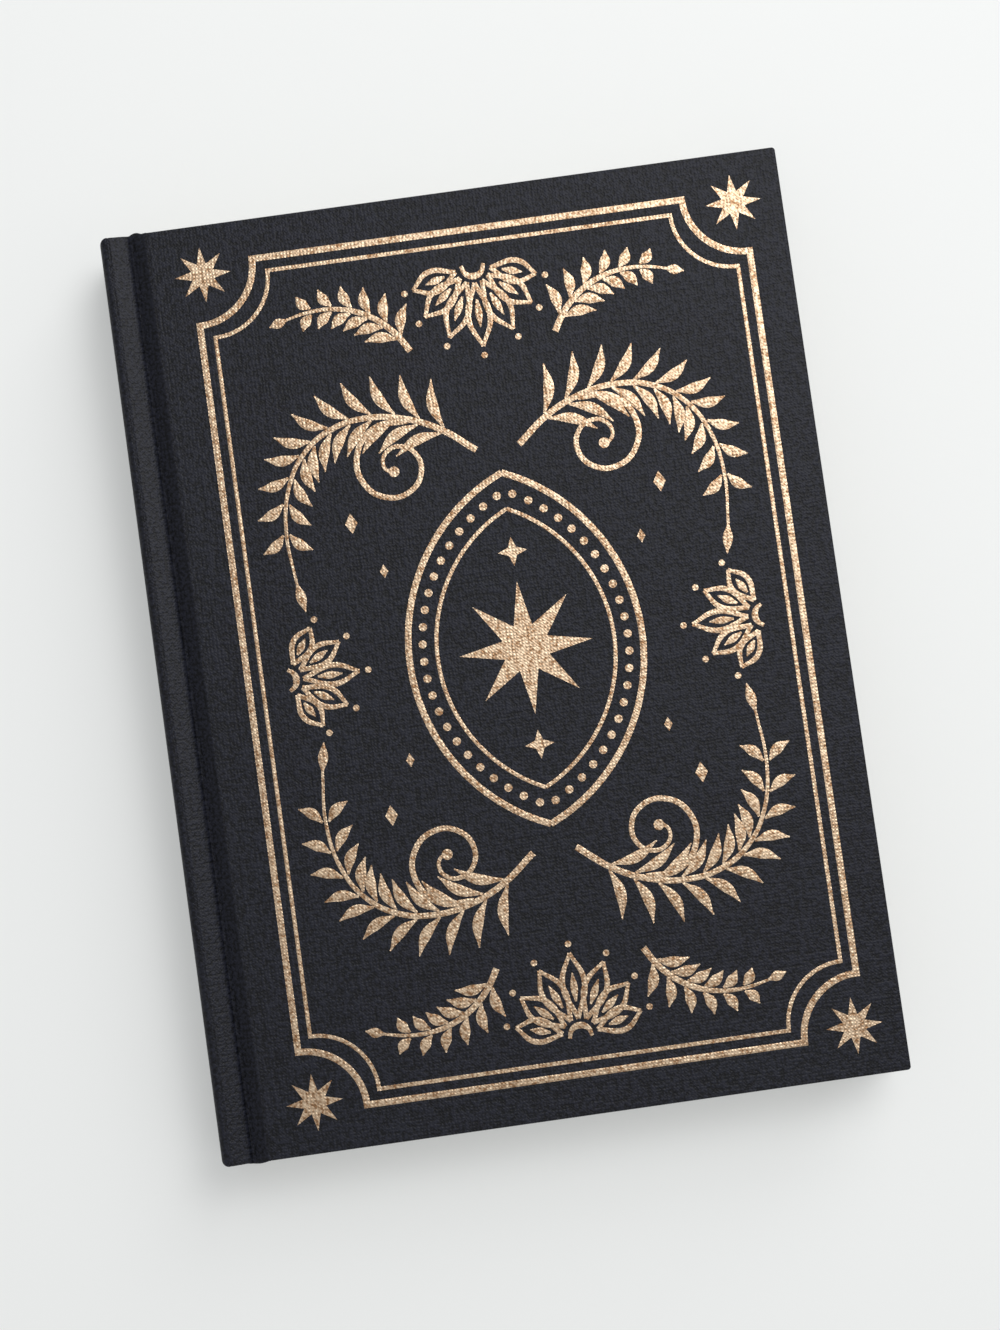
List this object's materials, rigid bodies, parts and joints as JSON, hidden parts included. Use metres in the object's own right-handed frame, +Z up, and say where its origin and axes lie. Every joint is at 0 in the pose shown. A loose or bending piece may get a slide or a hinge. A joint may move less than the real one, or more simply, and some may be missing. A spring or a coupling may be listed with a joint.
{
  "type": "address book",
  "caption": "Hardback address book in black book cloth with a square spine, French grooves, a foil-blocked front cover and sewn sections behind stepped index tabs.",
  "frame": {"origin": "middle of the closed book's bounding box, on the table under the back cover", "axes": "+X from the spine to the fore edge, +Y to the head, +Z up through the front cover"},
  "size_m": [0.159, 0.216, 0.0227],
  "materials": {
    "bookcloth": "woven black book cloth, copper-gold foil on the front",
    "greyboard": "plain grey binder's board",
    "endpaper": "smooth cream endpaper",
    "writing_paper": "ruled ivory writing paper",
    "tab_card": "stiff cream card",
    "mull": "open gauze",
    "kraft_lining": "brown kraft",
    "linen_thread": "waxed linen",
    "headband": "woven, striped copper and black"
  },
  "bodies": {
    "back_cover": {"back_board": "greyboard", "back_cloth": "bookcloth", "back_mull_flap": "mull", "back_pastedown": "endpaper"},
    "spine": {"spine_board": "greyboard", "spine_cloth": "bookcloth", "spine_lining": "kraft_lining", "spine_mull": "mull", "sewing_thread": "linen_thread", "sewn_folds": "writing_paper", "head_band": "headband", "tail_band": "headband", "front_joint_cloth": "bookcloth", "back_joint_cloth": "bookcloth"},
    "front_cover": {"front_board": "greyboard", "front_cloth": "bookcloth", "front_mull_flap": "mull", "front_pastedown": "endpaper"},
    "front_flyleaf": {"front_flyleaf": "endpaper"},
    "leaves_01": {"section_01": "writing_paper", "index_divider_01": "tab_card"},
    "leaves_02": {"section_02": "writing_paper", "index_divider_02": "tab_card"},
    "leaves_03": {"section_03": "writing_paper", "index_divider_03": "tab_card"},
    "leaves_04": {"section_04": "writing_paper", "index_divider_04": "tab_card"},
    "leaves_05": {"section_05": "writing_paper", "index_divider_05": "tab_card"},
    "leaves_06": {"section_06": "writing_paper", "index_divider_06": "tab_card"},
    "leaves_07": {"section_07": "writing_paper", "index_divider_07": "tab_card"},
    "leaves_08": {"section_08": "writing_paper", "index_divider_08": "tab_card"},
    "leaves_09": {"section_09": "writing_paper", "index_divider_09": "tab_card"},
    "leaves_10": {"section_10": "writing_paper", "index_divider_10": "tab_card"},
    "leaves_11": {"section_11": "writing_paper", "index_divider_11": "tab_card"},
    "leaves_12": {"section_12": "writing_paper", "index_divider_12": "tab_card"},
    "back_flyleaf": {"back_flyleaf": "endpaper"}
  },
  "joints": [
    {"name": "spine_hinge", "type": "hinge", "parent": "back_cover", "child": "spine", "pos_m": [-0.07615, 0, 0.00335], "axis": [0, -1, 0], "range_deg": [0, 90], "deforming": ["back_joint_cloth"]},
    {"name": "front_cover_hinge", "type": "hinge", "parent": "spine", "child": "front_cover", "pos_m": [-0.07615, 0, 0.0194], "axis": [0, -1, 0], "range_deg": [0, 90], "deforming": ["front_joint_cloth"]},
    {"name": "front_flyleaf_turn", "type": "hinge", "parent": "spine", "child": "front_flyleaf", "pos_m": [-0.07615, 0, 0.01928], "axis": [0, -1, 0], "range_deg": [0, 78], "deforming": ["sewn_folds"]},
    {"name": "leaves_01_turn", "type": "hinge", "parent": "spine", "child": "leaves_01", "pos_m": [-0.07615, 0, 0.01852], "axis": [0, -1, 0], "range_deg": [0, 66], "deforming": ["sewn_folds"]},
    {"name": "leaves_02_turn", "type": "hinge", "parent": "spine", "child": "leaves_02", "pos_m": [-0.07615, 0, 0.01723], "axis": [0, -1, 0], "range_deg": [0, 54], "deforming": ["sewn_folds"]},
    {"name": "leaves_03_turn", "type": "hinge", "parent": "spine", "child": "leaves_03", "pos_m": [-0.07615, 0, 0.01593], "axis": [0, -1, 0], "range_deg": [0, 42], "deforming": ["sewn_folds"]},
    {"name": "leaves_04_turn", "type": "hinge", "parent": "spine", "child": "leaves_04", "pos_m": [-0.07615, 0, 0.01463], "axis": [0, -1, 0], "range_deg": [0, 30], "deforming": ["sewn_folds"]},
    {"name": "leaves_05_turn", "type": "hinge", "parent": "spine", "child": "leaves_05", "pos_m": [-0.07615, 0, 0.01333], "axis": [0, -1, 0], "range_deg": [0, 18], "deforming": ["sewn_folds"]},
    {"name": "leaves_06_turn", "type": "hinge", "parent": "spine", "child": "leaves_06", "pos_m": [-0.07615, 0, 0.01202], "axis": [0, -1, 0], "range_deg": [0, 6], "deforming": ["sewn_folds"]},
    {"name": "leaves_07_turn", "type": "hinge", "parent": "spine", "child": "leaves_07", "pos_m": [-0.07615, 0, 0.01073], "axis": [0, -1, 0], "range_deg": [-6, 0], "deforming": ["sewn_folds"]},
    {"name": "leaves_08_turn", "type": "hinge", "parent": "spine", "child": "leaves_08", "pos_m": [-0.07615, 0, 0.00942], "axis": [0, -1, 0], "range_deg": [-18, 0], "deforming": ["sewn_folds"]},
    {"name": "leaves_09_turn", "type": "hinge", "parent": "spine", "child": "leaves_09", "pos_m": [-0.07615, 0, 0.00813], "axis": [0, -1, 0], "range_deg": [-30, 0], "deforming": ["sewn_folds"]},
    {"name": "leaves_10_turn", "type": "hinge", "parent": "spine", "child": "leaves_10", "pos_m": [-0.07615, 0, 0.00683], "axis": [0, -1, 0], "range_deg": [-42, 0], "deforming": ["sewn_folds"]},
    {"name": "leaves_11_turn", "type": "hinge", "parent": "spine", "child": "leaves_11", "pos_m": [-0.07615, 0, 0.00553], "axis": [0, -1, 0], "range_deg": [-54, 0], "deforming": ["sewn_folds"]},
    {"name": "leaves_12_turn", "type": "hinge", "parent": "spine", "child": "leaves_12", "pos_m": [-0.07615, 0, 0.00422], "axis": [0, -1, 0], "range_deg": [-66, 0], "deforming": ["sewn_folds"]},
    {"name": "back_flyleaf_turn", "type": "hinge", "parent": "spine", "child": "back_flyleaf", "pos_m": [-0.07615, 0, 0.00347], "axis": [0, -1, 0], "range_deg": [-78, 0], "deforming": ["sewn_folds"]}
  ],
  "couplings": [
    {"joint": "front_flyleaf_turn", "follows": "front_cover_hinge", "ratio": 0.86667},
    {"joint": "leaves_01_turn", "follows": "front_cover_hinge", "ratio": 0.73333},
    {"joint": "leaves_02_turn", "follows": "front_cover_hinge", "ratio": 0.6},
    {"joint": "leaves_03_turn", "follows": "front_cover_hinge", "ratio": 0.46667},
    {"joint": "leaves_04_turn", "follows": "front_cover_hinge", "ratio": 0.33333},
    {"joint": "leaves_05_turn", "follows": "front_cover_hinge", "ratio": 0.2},
    {"joint": "leaves_06_turn", "follows": "front_cover_hinge", "ratio": 0.066666},
    {"joint": "leaves_07_turn", "follows": "spine_hinge", "ratio": -0.066666},
    {"joint": "leaves_08_turn", "follows": "spine_hinge", "ratio": -0.2},
    {"joint": "leaves_09_turn", "follows": "spine_hinge", "ratio": -0.33333},
    {"joint": "leaves_10_turn", "follows": "spine_hinge", "ratio": -0.46667},
    {"joint": "leaves_11_turn", "follows": "spine_hinge", "ratio": -0.6},
    {"joint": "leaves_12_turn", "follows": "spine_hinge", "ratio": -0.73333},
    {"joint": "back_flyleaf_turn", "follows": "spine_hinge", "ratio": -0.86667}
  ]
}
